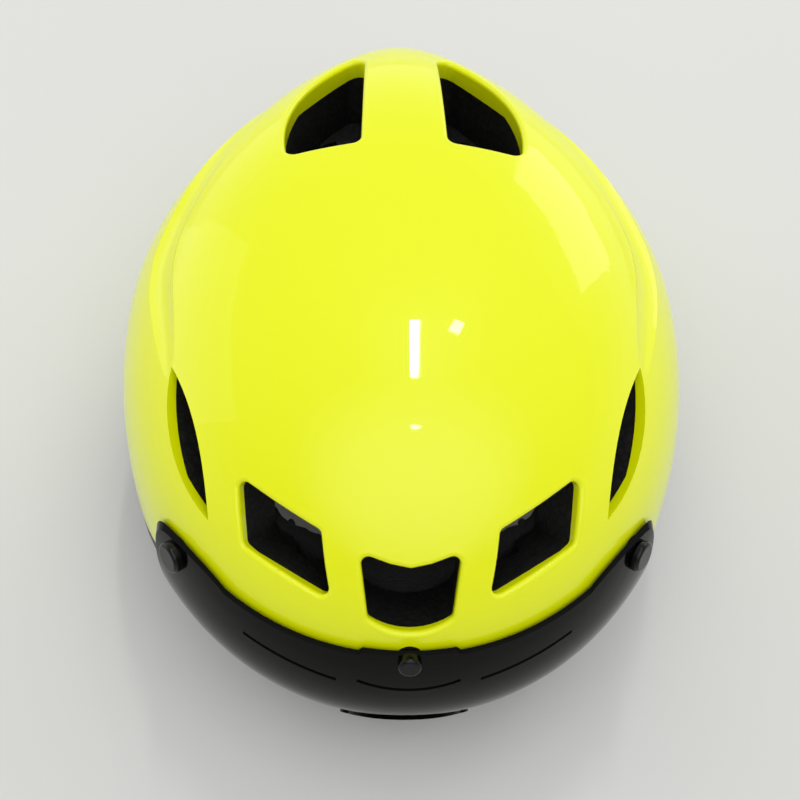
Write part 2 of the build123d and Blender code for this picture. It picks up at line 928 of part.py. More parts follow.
with BuildPart() as dial_knob:
    with BuildSketch(dial_plane(dial_front)):
        Circle(dial_radius)
    extrude(amount=dial_depth)
    chamfer(dial_knob.faces().sort_by(Axis.Y)[-1].edges(), cap_edge_radius)
    with BuildSketch(dial_plane(dial_front)):
        with PolarLocations(dial_radius + scallop_radius / 2, scallops):
            Circle(scallop_radius)
    extrude(amount=dial_depth, mode=Mode.SUBTRACT)
    add(dial_pinion.part, mode=Mode.SUBTRACT)
    add(dial_screw.part, mode=Mode.SUBTRACT)
save(dial_knob, "dial_knob")

# Strip on which the fit system hangs, and the pad against the nape
nape_pad_width = 50
nape_pad_height = 26
nape_pad_thickness = 4
foot_back = 85
with BuildPart() as hanger_strip:
    add(hanger_arc(0, hanger_start, hanger_sweep, hanger_width / 2))
    with BuildSketch(Plane.XY.offset(temple_height + housing_height / 2)):
        with Locations((0, (housing_front + foot_back) / 2)):
            Rectangle(hanger_width, foot_back - housing_front)
    extrude(amount=hanger_foot)
save(hanger_strip, "hanger_strip")

with BuildPart() as nape_pad:
    with BuildSketch(dial_plane(housing_front)):
        RectangleRounded(nape_pad_width, nape_pad_height, pad_corner)
    extrude(amount=-nape_pad_thickness)
    fillet(nape_pad.faces().sort_by(Axis.Y)[0].edges(), pad_edge)
save(nape_pad, "nape_pad")

# Headband arms from the racks round to the temple pins
arm_start_x = rack_tail + rack_head_width
for name, side in sides.items():
    bow = [(x * arm_temple_x * side, y * arm_y) for x, y in arm_bow_shares]
    start = (arm_start_x * side, arm_y)
    straight = (arm_temple_x * side, hinge_y + pin_head_radius)
    end = (arm_temple_x * side, hinge_y - arm_height / 2)
    with BuildPart() as band_arm:
        with BuildSketch(Plane.XY.offset(temple_height - arm_height / 2)):
            with BuildLine():
                Spline(start, *bow, straight, tangents=((side, 0), (0, -1)))
                Line(straight, end)
            trace(line_width=arm_thickness)
        extrude(amount=arm_height)
        arm_end = band_arm.faces().sort_by(Axis.Y)[0]
        fillet(arm_end.edges().filter_by(Axis.Z, reverse=True), arm_height / 3)
        eye = temple_disc(side, pin_radius + running_fit, pin_shoulder - arm_thickness, head_half_width)
        add(eye, mode=Mode.SUBTRACT)
    save(band_arm, "band_arm_" + name)


# Webbing between two places, flat against the side of the head
def webbing(start, end):
    run = Vector(*end) - Vector(*start)
    with BuildPart() as band:
        with BuildSketch(Plane(origin=start, x_dir=(1, 0, 0), z_dir=run)):
            Rectangle(strap_thickness, strap_width)
        extrude(amount=run.length)
    return band.part


def mirrored(place, side, drop=0):
    return (place[0] * side, place[1], place[2] - drop)


# Chin straps, which meet in a magnetic buckle under the chin
chin_level = 2.2
chin_turn_x = 60
chin_bend_radius = 8
buckle_half_width = 11
buckle_front = -10
buckle_length = 24
buckle_low = 1.5
buckle_split = 5.5
buckle_high = 9.5
rail_gap = 0.15
rail_head_width = 10
rail_neck_width = 6
rail_head_height = 1.5
rail_neck_height = 1
slider_strap_z = 7.5
slider_ramp_x = 30
buckle_magnet_radius = 4
buckle_magnet_depth = 1.2
chin_pad_start = 20
chin_pad_length = 35
chin_pad_low = 0.6
chin_pad_high = 4
strap_y = divider_place[1]


def buckle_block(low, high):
    with BuildPart() as block:
        with BuildSketch(Plane.XY.offset(low)):
            with Locations((0, buckle_front + buckle_length / 2)):
                RectangleRounded(2 * buckle_half_width, buckle_length, strap_thickness)
        extrude(amount=high - low)
    return block.part


chin_straps = {}
for name, side in sides.items():
    with BuildPart() as divider:
        with BuildSketch(Plane.YZ.offset(divider_place[0] * side)):
            with Locations(divider_place[1:]):
                RectangleRounded(divider_length, divider_height, divider_thickness)
        extrude(amount=divider_thickness / 2, both=True)
    save(divider, "strap_divider_" + name)
    for label, place in (("front", front_anchor), ("rear", rear_anchor)):
        with BuildPart() as anchor:
            add(anchor_tab(place, side))
        save(anchor, label + "_anchor_" + name)
        with BuildPart() as strap:
            add(webbing(mirrored(place, side, strap_drop), mirrored(divider_place, side)))
            add(anchor.part, mode=Mode.SUBTRACT)
            add(divider.part, mode=Mode.SUBTRACT)
        save(strap, label + "_strap_" + name)
    turn_place = (chin_turn_x * side, chin_level)
    if side > 0:
        run = [turn_place, (buckle_half_width, chin_level)]
    else:
        ramp = (-slider_ramp_x, chin_level)
        run = [turn_place, ramp, (-buckle_half_width, slider_strap_z)]
    with BuildPart() as chin_strap:
        with BuildSketch(Plane.XZ.offset(-strap_y)):
            with BuildLine():
                top = (divider_place[0] * side, divider_place[2])
                FilletPolyline(top, *run, radius=chin_bend_radius)
            trace(line_width=strap_thickness)
        extrude(amount=strap_width / 2, both=True)
        add(divider.part, mode=Mode.SUBTRACT)
        add(buckle_block(buckle_low, buckle_high), mode=Mode.SUBTRACT)
    chin_straps[name] = chin_strap.part
    save(chin_strap, "chin_strap_" + name)

with BuildPart() as chin_pad:
    with BuildSketch(Plane.YZ.offset(chin_pad_start)):
        with Locations((strap_y, (chin_pad_low + chin_pad_high) / 2)):
            Rectangle(strap_width + 2 * chin_pad_high, chin_pad_high - chin_pad_low)
    extrude(amount=chin_pad_length)
    fillet(chin_pad.edges().filter_by(Axis.X), strap_thickness)
    add(chin_straps["left"], mode=Mode.SUBTRACT)
save(chin_pad, "chin_pad")


# The sliding rail, and the slot for it when it is grown
def buckle_rail(growth):
    neck_low = buckle_split - rail_neck_height
    neck_height = rail_neck_height + rail_gap
    with BuildPart() as rail:
        with BuildSketch(Plane.XZ.offset(-buckle_front - buckle_length)):
            with Locations((0, neck_low + neck_height / 2)):
                Rectangle(rail_neck_width + 2 * growth, neck_height + 2 * growth)
            with Locations((0, neck_low - rail_head_height / 2)):
                Rectangle(rail_head_width + 2 * growth, rail_head_height + 2 * growth)
        extrude(amount=buckle_length)
    return rail.part


def buckle_magnet(low):
    with BuildPart() as magnet:
        with BuildSketch(Plane.XY.offset(low)):
            with Locations((0, buckle_front + buckle_length / 2)):
                Circle(buckle_magnet_radius)
        extrude(amount=buckle_magnet_depth)
    return magnet


base_magnet = buckle_magnet(buckle_low)
slider_magnet = buckle_magnet(buckle_high - buckle_magnet_depth)
save(base_magnet, "buckle_base_magnet")
save(slider_magnet, "buckle_slider_magnet")

with BuildPart() as buckle_base:
    add(buckle_block(buckle_low, buckle_split))
    add(buckle_rail(rail_gap), mode=Mode.SUBTRACT)
    add(base_magnet.part, mode=Mode.SUBTRACT)
save(buckle_base, "buckle_base")

with BuildPart() as buckle_slider:
    add(buckle_block(buckle_split + rail_gap, buckle_high))
    add(buckle_rail(0))
    add(slider_magnet.part, mode=Mode.SUBTRACT)
save(buckle_slider, "buckle_slider")
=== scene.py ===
from math import cos, pi, radians, sin, tan

import bpy
from mathutils import Matrix, Vector


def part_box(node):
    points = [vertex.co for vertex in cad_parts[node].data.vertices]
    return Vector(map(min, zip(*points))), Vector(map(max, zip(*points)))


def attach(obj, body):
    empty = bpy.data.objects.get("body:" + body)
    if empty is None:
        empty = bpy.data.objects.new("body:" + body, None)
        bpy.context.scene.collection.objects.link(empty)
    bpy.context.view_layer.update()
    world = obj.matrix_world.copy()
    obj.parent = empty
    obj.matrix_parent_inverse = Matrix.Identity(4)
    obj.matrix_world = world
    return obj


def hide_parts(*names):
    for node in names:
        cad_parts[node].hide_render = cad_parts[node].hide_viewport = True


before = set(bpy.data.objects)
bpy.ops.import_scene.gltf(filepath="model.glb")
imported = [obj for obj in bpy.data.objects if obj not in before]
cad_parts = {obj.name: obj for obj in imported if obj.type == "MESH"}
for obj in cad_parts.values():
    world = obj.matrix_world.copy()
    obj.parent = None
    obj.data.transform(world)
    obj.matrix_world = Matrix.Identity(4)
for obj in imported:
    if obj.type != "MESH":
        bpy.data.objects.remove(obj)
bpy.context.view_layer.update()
print("frame loaded:", len(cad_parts), "nodes")


def hexColour(code):
    # sRGB hex to linear light
    channels = [int(code[i:i + 2], 16) / 255 for i in (1, 3, 5)]
    linear = [c / 12.92 if c <= 0.04045 else ((c + 0.055) / 1.055) ** 2.4 for c in channels]
    return (*linear, 1.0)


def addNode(tree, kind, settings=None, links=None):
    # settings: socket name or attribute to value; links: socket to a source socket
    node = tree.nodes.new(kind)
    for name, value in (settings or {}).items():
        if isinstance(name, int) or name in node.inputs:
            node.inputs[name].default_value = value
        else:
            setattr(node, name, value)
    for name, source in (links or {}).items():
        tree.links.new(source, node.inputs[name])
    return node


def newMaterial(name):
    material = bpy.data.materials.new(name)
    material.use_nodes = True
    tree = material.node_tree
    shader = tree.nodes["Principled BSDF"]
    place = addNode(tree, "ShaderNodeTexCoord").outputs["Object"]
    return material, tree, shader, place


def addBump(tree, shader, height, strength, distance):
    bump = addNode(tree, "ShaderNodeBump", {"Strength": strength, "Distance": distance},
                   {"Height": height})
    tree.links.new(bump.outputs["Normal"], shader.inputs["Normal"])


def dress(nodeNames, material):
    for name in nodeNames:
        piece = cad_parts[name]
        piece.data.materials.clear()
        piece.data.materials.append(material)


def both(name):
    return [name + "_left", name + "_right"]


def makeShellPolycarbonate():
    # thermoformed polycarbonate skin, sprayed fluorescent yellow-green from behind: a deep clear
    # gloss over the colour, painted darker and greener low on the flanks as shade
    material, tree, shader, place = newMaterial("fluorescentPolycarbonate")
    look = {"crown": "#E3EA00", "flank": "#CCE200", "low": 0.02, "high": 0.125}
    height = addNode(tree, "ShaderNodeSeparateXYZ", links={"Vector": place}).outputs["Z"]
    cloud = addNode(tree, "ShaderNodeTexNoise", {"Scale": 14.0, "Detail": 2.0},
                    {"Vector": place}).outputs["Fac"]
    drift = addNode(tree, "ShaderNodeMath", {"operation": "MULTIPLY_ADD", 1: 0.02},
                    {0: cloud, 2: height}).outputs[0]
    share = addNode(tree, "ShaderNodeMapRange",
                    {"From Min": look["low"], "From Max": look["high"]},
                    {"Value": drift}).outputs["Result"]
    # painted shade: the colour runs from a darker, greener tone low on the flanks to the crown
    # colour higher up
    flankShadeRamp = addNode(tree, "ShaderNodeValToRGB", links={"Fac": share})
    flankShadeRamp.color_ramp.elements[0].color = hexColour(look["flank"])
    flankShadeRamp.color_ramp.elements[1].color = hexColour(look["crown"])
    tree.links.new(flankShadeRamp.outputs["Color"], shader.inputs["Base Color"])
    # painted light: a faint even yellow-green glow, though the shell is no lamp
    shader.inputs["Emission Color"].default_value = hexColour("#DCF000")
    shader.inputs["Emission Strength"].default_value = 0.04
    shader.inputs["Roughness"].default_value = 0.35
    shader.inputs["Specular IOR Level"].default_value = 0.2
    shader.inputs["Coat Weight"].default_value = 0.6
    shader.inputs["Coat Roughness"].default_value = 0.03
    # faint orange peel, about 6 mm from crest to crest
    peel = addNode(tree, "ShaderNodeTexNoise", {"Scale": 160.0, "Detail": 1.0},
                   {"Vector": place}).outputs["Fac"]
    addBump(tree, shader, peel, 0.06, 0.0006)
    return material


def makeBeadedFoam(name, dark, light):
    # expanded polystyrene: fused beads 3 to 4 mm wide with fine dark seams between them
    material, tree, shader, place = newMaterial(name)
    beads = addNode(tree, "ShaderNodeTexVoronoi", {"Scale": 290.0, "feature": "DISTANCE_TO_EDGE"},
                    {"Vector": place}).outputs["Distance"]
    seam = addNode(tree, "ShaderNodeValToRGB", links={"Fac": beads})
    seam.color_ramp.elements[0].color = hexColour(dark)
    seam.color_ramp.elements[1].position = 0.18
    seam.color_ramp.elements[1].color = hexColour(light)
    tree.links.new(seam.outputs["Color"], shader.inputs["Base Color"])
    shader.inputs["Roughness"].default_value = 0.62
    addBump(tree, shader, beads, 0.35, 0.001)
    return material


def makeMouldedNylon(name, colour, roughness, grain):
    # injection-moulded nylon with a spark-eroded grain
    material, tree, shader, place = newMaterial(name)
    noise = addNode(tree, "ShaderNodeTexNoise", {"Scale": grain, "Detail": 3.0},
                    {"Vector": place}).outputs["Fac"]
    tone = addNode(tree, "ShaderNodeValToRGB", links={"Fac": noise})
    tone.color_ramp.elements[0].color = hexColour(colour)
    worn = 1.6
    tone.color_ramp.elements[1].color = [worn * c for c in hexColour(colour)[:3]] + [1]
    tree.links.new(tone.outputs["Color"], shader.inputs["Base Color"])
    shader.inputs["Roughness"].default_value = roughness
    addBump(tree, shader, noise, 0.12, 0.0003)
    return material


def makeGlossyAbs():
    # black ABS from a polished mould: the magnet caps and the nose trim
    material, tree, shader, place = newMaterial("polishedAbs")
    noise = addNode(tree, "ShaderNodeTexNoise", {"Scale": 220.0, "Detail": 2.0},
                    {"Vector": place}).outputs["Fac"]
    wear = addNode(tree, "ShaderNodeMapRange", {"To Min": 0.16, "To Max": 0.26},
                   {"Value": noise}).outputs["Result"]
    shader.inputs["Base Color"].default_value = hexColour("#070707")
    shader.inputs["Specular IOR Level"].default_value = 0.25
    tree.links.new(wear, shader.inputs["Roughness"])
    addBump(tree, shader, noise, 0.05, 0.0003)
    return material


def makeSmokeLens():
    # smoke-tinted polycarbonate lens: nearly black, only faintly see-through, with an IOR
    # and specular level matched to the photograph's dim reflections
    material, tree, shader, place = newMaterial("smokePolycarbonate")
    look = {"top": "#030303", "low": "#141312", "fadeLow": 0.01, "fadeHigh": 0.085,
            "edgeLift": 0.7, "edgeRoughness": 0.6}
    height = addNode(tree, "ShaderNodeSeparateXYZ", links={"Vector": place}).outputs["Z"]
    paintedSeeThroughFade = addNode(tree, "ShaderNodeMapRange",
                   {"From Min": look["fadeLow"], "From Max": look["fadeHigh"]},
                   {"Value": height}).outputs["Result"]
    # painted light: the tint turns paler and browner towards the bottom, standing in for the floor
    # seen through the lens
    tint = addNode(tree, "ShaderNodeValToRGB", links={"Fac": paintedSeeThroughFade})
    tint.color_ramp.elements[0].color = hexColour(look["low"])
    tint.color_ramp.elements[1].color = hexColour(look["top"])
    tree.links.new(tint.outputs["Color"], shader.inputs["Base Color"])
    shader.inputs["Transmission Weight"].default_value = 0.3
    shader.inputs["IOR"].default_value = 1.34
    shader.inputs["Specular IOR Level"].default_value = 0.08
    swirl = addNode(tree, "ShaderNodeTexNoise", {"Scale": 30.0, "Detail": 1.0},
                    {"Vector": place}).outputs["Fac"]
    haze = addNode(tree, "ShaderNodeMapRange", {"To Min": 0.07, "To Max": 0.12},
                   {"Value": swirl}).outputs["Result"]
    # the cut edge on top is left matt by the cutter
    facing = addNode(tree, "ShaderNodeTexCoord").outputs["Normal"]
    lift = addNode(tree, "ShaderNodeSeparateXYZ", links={"Vector": facing}).outputs["Z"]
    isEdge = addNode(tree, "ShaderNodeMath",
                     {"operation": "GREATER_THAN", 1: look["edgeLift"]}, {0: lift}).outputs[0]
    finish = addNode(tree, "ShaderNodeMath",
                     {"operation": "MULTIPLY_ADD", 1: look["edgeRoughness"]},
                     {0: isEdge, 2: haze}).outputs[0]
    tree.links.new(finish, shader.inputs["Roughness"])
    return material


def makeNickel():
    # nickel-plated sintered magnet, satin from tumbling
    material, tree, shader, place = newMaterial("nickelPlate")
    noise = addNode(tree, "ShaderNodeTexNoise", {"Scale": 900.0, "Detail": 2.0},
                    {"Vector": place}).outputs["Fac"]
    satin = addNode(tree, "ShaderNodeMapRange", {"To Min": 0.2, "To Max": 0.38},
                    {"Value": noise}).outputs["Result"]
    shader.inputs["Base Color"].default_value = hexColour("#B9B6AE")
    shader.inputs["Metallic"].default_value = 1.0
    tree.links.new(satin, shader.inputs["Roughness"])
    return material


def makeDarkSteel():
    # black-oxide steel screws
    material, tree, shader, place = newMaterial("blackOxideSteel")
    noise = addNode(tree, "ShaderNodeTexNoise", {"Scale": 700.0, "Detail": 2.0},
                    {"Vector": place}).outputs["Fac"]
    satin = addNode(tree, "ShaderNodeMapRange", {"To Min": 0.3, "To Max": 0.45},
                    {"Value": noise}).outputs["Result"]
    shader.inputs["Base Color"].default_value = hexColour("#4A4A4C")
    shader.inputs["Metallic"].default_value = 1.0
    tree.links.new(satin, shader.inputs["Roughness"])
    return material


def makeWebbing():
    # woven polyester webbing: ribs across the band 0.9 mm apart, a thicker selvedge and
    # a row of stitches along each edge; the UV map is in metres across and along the band
    material, tree, shader, place = newMaterial("wovenPolyester")
    look = {"ribs": 0.0009, "stitch": 0.0026, "edgeRow": 0.0047, "rowWidth": 0.0006}
    across, along, height = addNode(tree, "ShaderNodeSeparateXYZ", links={
        "Vector": addNode(tree, "ShaderNodeTexCoord").outputs["UV"]}).outputs

    def mathNode(operation, first, second):
        links = {0: first}
        settings = {"operation": operation}
        if isinstance(second, float):
            settings[1] = second
        else:
            links[1] = second
        return addNode(tree, "ShaderNodeMath", settings, links).outputs[0]

    ribs = mathNode("SINE", mathNode("MULTIPLY", along, 2 * pi / look["ribs"]), 0.0)
    offset = mathNode("SUBTRACT", mathNode("ABSOLUTE", across, 0.0), look["edgeRow"])
    isRow = mathNode("LESS_THAN", mathNode("ABSOLUTE", offset, 0.0), look["rowWidth"])
    dash = mathNode("GREATER_THAN", mathNode(
        "SINE", mathNode("MULTIPLY", along, 2 * pi / look["stitch"]), 0.0), -0.3)
    thread = mathNode("MULTIPLY", isRow, dash)
    fibres = addNode(tree, "ShaderNodeTexNoise", {"Scale": 1400.0, "Detail": 2.0},
                     {"Vector": place}).outputs["Fac"]
    tone = addNode(tree, "ShaderNodeValToRGB", links={"Fac": mathNode(
        "ADD", mathNode("MULTIPLY", fibres, 0.6), mathNode("MULTIPLY", thread, 0.5))})
    tone.color_ramp.elements[0].color = hexColour("#121213")
    tone.color_ramp.elements[1].color = hexColour("#3A3A3D")
    tree.links.new(tone.outputs["Color"], shader.inputs["Base Color"])
    shader.inputs["Roughness"].default_value = 0.8
    shader.inputs["Sheen Weight"].default_value = 0.25
    relief = mathNode("ADD", mathNode("MULTIPLY", ribs, 0.4), thread)
    addBump(tree, shader, relief, 0.5, 0.0003)
    return material


def makePadKnit():
    # brushed polyester knit over soft foam: fine cells about 1.2 mm wide
    material, tree, shader, place = newMaterial("brushedKnit")
    cells = addNode(tree, "ShaderNodeTexVoronoi", {"Scale": 820.0},
                    {"Vector": place}).outputs["Distance"]
    shade = addNode(tree, "ShaderNodeTexNoise", {"Scale": 60.0, "Detail": 3.0},
                    {"Vector": place}).outputs["Fac"]
    tone = addNode(tree, "ShaderNodeValToRGB", links={"Fac": shade})
    tone.color_ramp.elements[0].color = hexColour("#0C0C0D")
    tone.color_ramp.elements[1].color = hexColour("#1E1E20")
    tree.links.new(tone.outputs["Color"], shader.inputs["Base Color"])
    shader.inputs["Roughness"].default_value = 0.92
    shader.inputs["Sheen Weight"].default_value = 0.12
    addBump(tree, shader, cells, 0.45, 0.0005)
    return material


def makeGripRubber():
    # moulded thermoplastic rubber on the dial: matt with a fine pebble
    material, tree, shader, place = newMaterial("mouldedRubber")
    pebble = addNode(tree, "ShaderNodeTexVoronoi", {"Scale": 1100.0},
                     {"Vector": place}).outputs["Distance"]
    shader.inputs["Base Color"].default_value = hexColour("#1C1C1E")
    shader.inputs["Roughness"].default_value = 0.7
    addBump(tree, shader, pebble, 0.3, 0.0003)
    return material


shellPaint = makeShellPolycarbonate()
foam = makeBeadedFoam("beadedPolystyrene", "#060606", "#1B1B1D")
trimNylon = makeMouldedNylon("grainedNylon", "#151516", 0.5, 900.0)
strapNylon = makeMouldedNylon("mouldedNylon", "#101011", 0.42, 1200.0)
glossBlack = makeGlossyAbs()
smokeLens = makeSmokeLens()
nickel = makeNickel()
darkSteel = makeDarkSteel()
webbing = makeWebbing()
padKnit = makePadKnit()
gripRubber = makeGripRubber()

magnetPlaces = ["left", "right", "centre"]
dress(["outer_shell"], shellPaint)
dress(["eps_liner"], foam)
dress(["lower_trim", "hanger_clip", "dial_housing", "dial_cover", "hanger_strip"], trimNylon)
dress(["magnet_cup_" + place for place in magnetPlaces], trimNylon)
dress(both("temple_pin") + both("rack") + both("band_arm") + ["dial_pinion"], strapNylon)
dress(both("front_anchor") + both("rear_anchor") + both("strap_divider"), strapNylon)
dress(["buckle_base", "buckle_slider"], strapNylon)
dress(["nose_trim"] + ["visor_cap_" + place for place in magnetPlaces], glossBlack)
dress(["visor_lens"], smokeLens)
dress(["shell_magnet_" + place for place in magnetPlaces], nickel)
dress(["visor_magnet_" + place for place in magnetPlaces], nickel)
dress(["buckle_base_magnet", "buckle_slider_magnet"], nickel)
dress(["dial_screw", "cover_screws"], darkSteel)
dress(["dial_knob"], gripRubber)
print("materials given to the frame")

# Straps: a flat band laid along its route, given its thickness and soft edges
band = {"width": 0.014, "thickness": 0.0012, "columns": 9, "step": 0.0015, "hidden": 0.0006}


def middleOf(node):
    low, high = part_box(node)
    return (Vector(low) + Vector(high)) / 2


def roundedRoute(corners, radius):
    # straight runs with a soft turn at each inner corner, as points a step apart
    stops = [corners[0]]
    for before, corner, after in zip(corners, corners[1:], corners[2:]):
        inward = (corner - before).normalized()
        outward = (after - corner).normalized()
        reach = radius * tan(inward.angle(outward) / 2)
        first, last = corner - inward * reach, corner + outward * reach
        for index in range(9):
            share = index / 8
            stops.append(first.lerp(corner, share).lerp(corner.lerp(last, share), share))
    stops.append(corners[-1])
    points = []
    for start, end in zip(stops, stops[1:]):
        count = max(1, round((end - start).length / band["step"]))
        points += [start.lerp(end, index / count) for index in range(count)]
    return points + [stops[-1]]


def clearStretch(points, nodes):
    # the part of a route outside the boxes of the pieces that the band ends in
    def isInside(point):
        for node in nodes:
            low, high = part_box(node)
            if all(low[i] + band["hidden"] < point[i] < high[i] - band["hidden"] for i in range(3)):
                return True
        return False

    return [point for point in points if not isInside(point)]


def makeStrap(name, points, edgeward):
    # edgeward: the direction of the band's width at every point, from its own tangent
    rows = len(points) - 1
    bpy.ops.object.select_all(action="DESELECT")
    bpy.ops.mesh.primitive_grid_add(x_subdivisions=band["columns"], y_subdivisions=rows,
                                    size=1, location=(0, 0, 0))
    strap = bpy.context.object
    strap.name = name
    mesh = strap.data
    gone = [0.0]
    for start, end in zip(points, points[1:]):
        gone.append(gone[-1] + (end - start).length)
    columns = band["columns"] + 1
    for index, vertex in enumerate(mesh.vertices):
        row, column = divmod(index, columns)
        behind, ahead = points[max(0, row - 1)], points[min(rows, row + 1)]
        side = edgeward((ahead - behind).normalized())
        vertex.co = points[row] + side * (column / band["columns"] - 0.5) * band["width"]
    for corner in mesh.uv_layers.active.data:
        across, along = corner.uv
        corner.uv = ((across - 0.5) * band["width"], along * gone[-1])
    solid = strap.modifiers.new("thickness", "SOLIDIFY")
    solid.thickness = band["thickness"]
    solid.offset = 0
    bevel = strap.modifiers.new("softEdge", "BEVEL")
    bevel.width = band["thickness"] / 3
    bevel.segments = 2
    bevel.limit_method = "ANGLE"
    for modifier in ("thickness", "softEdge"):
        bpy.ops.object.modifier_apply(modifier=modifier)
    bpy.ops.object.shade_smooth_by_angle(angle=radians(40))
    mesh.materials.append(webbing)
    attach(strap, "helmet")
    return strap


def acrossRun(direction):
    return direction.cross(Vector((1, 0, 0))).normalized()


def acrossChin(direction):
    return Vector((0, 1, 0))


strapDrop = 0.0055
chin = {"turnX": 0.06, "level": 0.0022, "bend": 0.008, "buckleX": 0.011,
        "rampX": 0.03, "sliderZ": 0.0075}
for side, sign in (("left", 1), ("right", -1)):
    divider = middleOf("strap_divider_" + side)
    for end in ("front", "rear"):
        anchor = middleOf(end + "_anchor_" + side) - Vector((0, 0, strapDrop))
        points = clearStretch(roundedRoute([anchor, divider], chin["bend"]),
                              [end + "_anchor_" + side, "strap_divider_" + side])
        strap = makeStrap(end + "Webbing" + side.title(), points, acrossRun)
        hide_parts(end + "_strap_" + side)
    corners = [divider, Vector((sign * chin["turnX"], divider.y, chin["level"]))]
    if side == "left":
        corners.append(Vector((chin["buckleX"], divider.y, chin["level"])))
    else:
        corners.append(Vector((-chin["rampX"], divider.y, chin["level"])))
        corners.append(Vector((-chin["buckleX"], divider.y, chin["sliderZ"])))
    points = clearStretch(roundedRoute(corners, chin["bend"]), ["strap_divider_" + side])
    strap = makeStrap("chinWebbing" + side.title(), points, acrossChin)
    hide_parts("chin_strap_" + side)
print("straps laid")

# Pads: the cover swells under cloth pressure, then its sewn channels are drawn in
cushion = {"voxel": 0.0024, "inset": 0.0009, "cap": 0.0011, "pressure": 4.0, "frames": 9,
           "groove": 0.0009, "reach": 0.0022, "weld": 0.00001, "smoothing": 0.5, "passes": 5}


def copyNode(node, name):
    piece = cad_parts[node].copy()
    piece.data = piece.data.copy()
    piece.name = name
    piece.parent = None
    bpy.context.collection.objects.link(piece)
    bpy.ops.object.select_all(action="DESELECT")
    bpy.context.view_layer.objects.active = piece
    piece.select_set(True)
    bpy.ops.object.mode_set(mode="EDIT")
    bpy.ops.mesh.select_all(action="SELECT")
    bpy.ops.mesh.remove_doubles(threshold=cushion["weld"])
    bpy.ops.object.mode_set(mode="OBJECT")
    return piece


def makePad(name, node, body, seams):
    # seams: function of a place that gives the distance to the nearest sewn line
    pad = copyNode(node, name)
    remesh = pad.modifiers.new("voxels", "REMESH")
    remesh.mode = "VOXEL"
    remesh.voxel_size = cushion["voxel"]
    soften = pad.modifiers.new("soften", "SMOOTH")
    soften.factor = cushion["smoothing"]
    soften.iterations = cushion["passes"]
    bpy.ops.object.modifier_apply(modifier="voxels")
    bpy.ops.object.modifier_apply(modifier="soften")
    mesh = pad.data
    for vertex in mesh.vertices:
        vertex.co -= vertex.normal * cushion["inset"]
    starts = [vertex.co.copy() for vertex in mesh.vertices]
    cloth = pad.modifiers.new("cover", "CLOTH")
    cloth.settings.use_pressure = True
    cloth.settings.uniform_pressure_force = cushion["pressure"]
    cloth.settings.effector_weights.gravity = 0
    for moment in range(1, cushion["frames"] + 1):
        bpy.context.scene.frame_set(moment)
    swollen = pad.evaluated_get(bpy.context.evaluated_depsgraph_get()).data
    moves = [point.co - start for point, start in zip(swollen.vertices, starts)]
    print(name, "swells", round(max(move.length for move in moves) * 1000, 2), "mm")
    pad.modifiers.remove(cloth)
    bpy.context.scene.frame_set(1)
    for vertex, start, move in zip(mesh.vertices, starts, moves):
        if move.length > cushion["cap"]:
            move = move.normalized() * cushion["cap"]
        vertex.co = start + move
    finer = pad.modifiers.new("finer", "SUBSURF")
    finer.levels = finer.render_levels = 1
    bpy.ops.object.modifier_apply(modifier="finer")
    for vertex in mesh.vertices:
        share = max(0.0, 1 - seams(vertex.co) / cushion["reach"])
        vertex.co -= vertex.normal * cushion["groove"] * share * share * (3 - 2 * share)
    bpy.ops.object.shade_smooth()
    mesh.materials.clear()
    mesh.materials.append(padKnit)
    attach(pad, body)
    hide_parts(node)


def seamLines(axis, pitch, middle=0.0):
    # sewn lines across an axis, a pitch apart, one each side of the middle
    def distance(place):
        phase = (place[axis] - middle) / pitch + 0.5
        return abs(phase - round(phase)) * pitch

    return distance


makePad("browCushion", "brow_pad", "helmet", seamLines(0, 0.026))
makePad("crownCushion", "crown_pad", "helmet", seamLines(1, 0.022))
for side in ("left", "right"):
    makePad("crownCushion" + side.title(), "crown_side_pad_" + side, "helmet", seamLines(1, 0.021))
makePad("napeCushion", "nape_pad", "fit_band", seamLines(0, 0.0125))
makePad("chinCushion", "chin_pad", "helmet", seamLines(0, 0.0117, 0.0375))
print("pads made")

# The camera is fitted to the photograph; angles in degrees, lens and sensor in mm
view = {
    "azimuth": -3.122, "elevation": 56.0, "roll": 2.654, "distance": 0.5604,
    "target": (-0.00054, -0.0170, 0.0693), "lens": 66.91, "sensor": 36.0,
}
turn = radians(view["azimuth"])
rise = radians(view["elevation"])
roll = radians(view["roll"])
back = Vector((sin(turn) * cos(rise), -cos(turn) * cos(rise), sin(rise)))
level = Vector((cos(turn), sin(turn), 0))
upward = back.cross(level)
right = level * cos(roll) + upward * sin(roll)
top = upward * cos(roll) - level * sin(roll)
cameraData = bpy.data.cameras.new("studioCamera")
cameraData.lens = view["lens"]
cameraData.sensor_width = view["sensor"]
cameraData.clip_start = 0.01
camera = bpy.data.objects.new("studioCamera", cameraData)
bpy.context.collection.objects.link(camera)
spot = Vector(view["target"]) + back * view["distance"]
camera.matrix_world = Matrix((
    (right.x, top.x, back.x, spot.x),
    (right.y, top.y, back.y, spot.y),
    (right.z, top.z, back.z, spot.z),
    (0, 0, 0, 1),
))
bpy.context.scene.camera = camera
print("camera set")

# Floor, lamps and world: lengths in metres, lamp power in watts
studio = {"floorSize": 30.0, "floor": "#CFCFCE", "cloud": "#D9D9D7"}


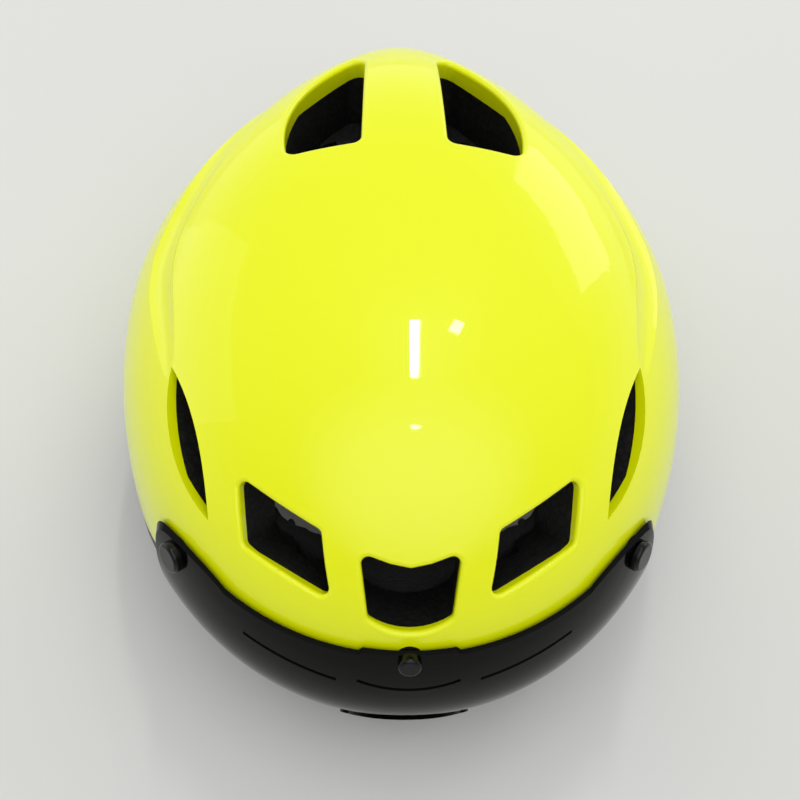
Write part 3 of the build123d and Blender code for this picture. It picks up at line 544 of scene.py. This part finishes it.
def makeFloor():
    bpy.ops.object.select_all(action="DESELECT")
    bpy.ops.mesh.primitive_plane_add(size=studio["floorSize"], location=(0, 0, 0))
    floor = bpy.context.object
    floor.name = "paleFloor"
    material, tree, shader, place = newMaterial("palePaper")
    # a seamless paper sweep, pale grey with very slight clouding
    cloud = addNode(tree, "ShaderNodeTexNoise", {"Scale": 3.0, "Detail": 2.0},
                    {"Vector": place}).outputs["Fac"]
    tone = addNode(tree, "ShaderNodeValToRGB", links={"Fac": cloud})
    tone.color_ramp.elements[0].color = hexColour(studio["floor"])
    tone.color_ramp.elements[1].color = hexColour(studio["cloud"])
    tree.links.new(tone.outputs["Color"], shader.inputs["Base Color"])
    shader.inputs["Roughness"].default_value = 0.75
    # see-through from underneath, so that a view from below shows the helmet
    isUnder = addNode(tree, "ShaderNodeNewGeometry").outputs["Backfacing"]
    clear = addNode(tree, "ShaderNodeBsdfTransparent").outputs["BSDF"]
    mixed = addNode(tree, "ShaderNodeMixShader",
                    links={0: isUnder, 1: shader.outputs["BSDF"], 2: clear})
    tree.links.new(mixed.outputs["Shader"], tree.nodes["Material Output"].inputs["Surface"])
    floor.data.materials.append(material)


def addLamp(name, place, aim, width, depth, power):
    data = bpy.data.lights.new(name, "AREA")
    data.shape = "RECTANGLE"
    data.size = width
    data.size_y = depth
    data.energy = power
    lamp = bpy.data.objects.new(name, data)
    bpy.context.collection.objects.link(lamp)
    lamp.location = place
    lamp.rotation_euler = (Vector(aim) - Vector(place)).to_track_quat("-Z", "Y").to_euler()


makeFloor()
centre = (0, 0, 0.1)
addLamp("windowLamp", (1.25, 1.5, 0.95), centre, 0.95, 0.75, 4.5)
addLamp("sideLamp", (-1.65, 0.75, 0.6), centre, 1.5, 1.6, 4)
addLamp("tubeLamp", (0.13, 0.66, 1.95), (0.13, 0.66, 0), 0.05, 0.5, 4)
addLamp("spotLamp", (0.36, 0.85, 1.95), centre, 0.09, 0.09, 0.6)
addLamp("dotLamp", (0.1, -0.05, 1.95), centre, 0.03, 0.12, 0.4)


def makeWorld():
    # a plain room: walls that are bright behind the helmet and dim in front of it, a dim
    # ceiling, and a soft glow from a ceiling light above the front
    room = {"tint": "#FBFBFA", "horizon": 1.2, "ceiling": 0.67, "dimFront": 0.5,
            "glow": 1.8, "glowAim": (0.08, -0.42, 0.9)}
    world = bpy.data.worlds.new("studioWorld")
    bpy.context.scene.world = world
    world.use_nodes = True
    tree = world.node_tree
    outward = addNode(tree, "ShaderNodeTexCoord").outputs["Generated"]
    apart = addNode(tree, "ShaderNodeSeparateXYZ", links={"Vector": outward}).outputs
    smooth = {"interpolation_type": "SMOOTHSTEP"}
    walls = addNode(tree, "ShaderNodeMapRange", {
        **smooth, "From Min": 0.05, "From Max": 0.55, "To Min": room["horizon"],
        "To Max": room["ceiling"]}, {"Value": apart["Z"]}).outputs["Result"]
    depth = addNode(tree, "ShaderNodeMapRange", {
        **smooth, "From Min": -0.7, "From Max": 0.4, "To Min": room["dimFront"]},
        {"Value": apart["Y"]}).outputs["Result"]
    aimed = addNode(tree, "ShaderNodeVectorMath",
                    {"operation": "DOT_PRODUCT", 1: room["glowAim"]}, {0: outward}).outputs["Value"]
    glow = addNode(tree, "ShaderNodeMapRange", {
        **smooth, "From Min": 0.72, "From Max": 1.0, "To Max": room["glow"]},
        {"Value": aimed}).outputs["Result"]
    radiance = addNode(tree, "ShaderNodeMath", {"operation": "MULTIPLY_ADD"},
                       {0: walls, 1: depth, 2: glow}).outputs[0]
    backdrop = tree.nodes["Background"]
    backdrop.inputs["Color"].default_value = hexColour(room["tint"])
    tree.links.new(radiance, backdrop.inputs["Strength"])


makeWorld()
bpy.context.scene.view_settings.view_transform = "Standard"
print("studio set")
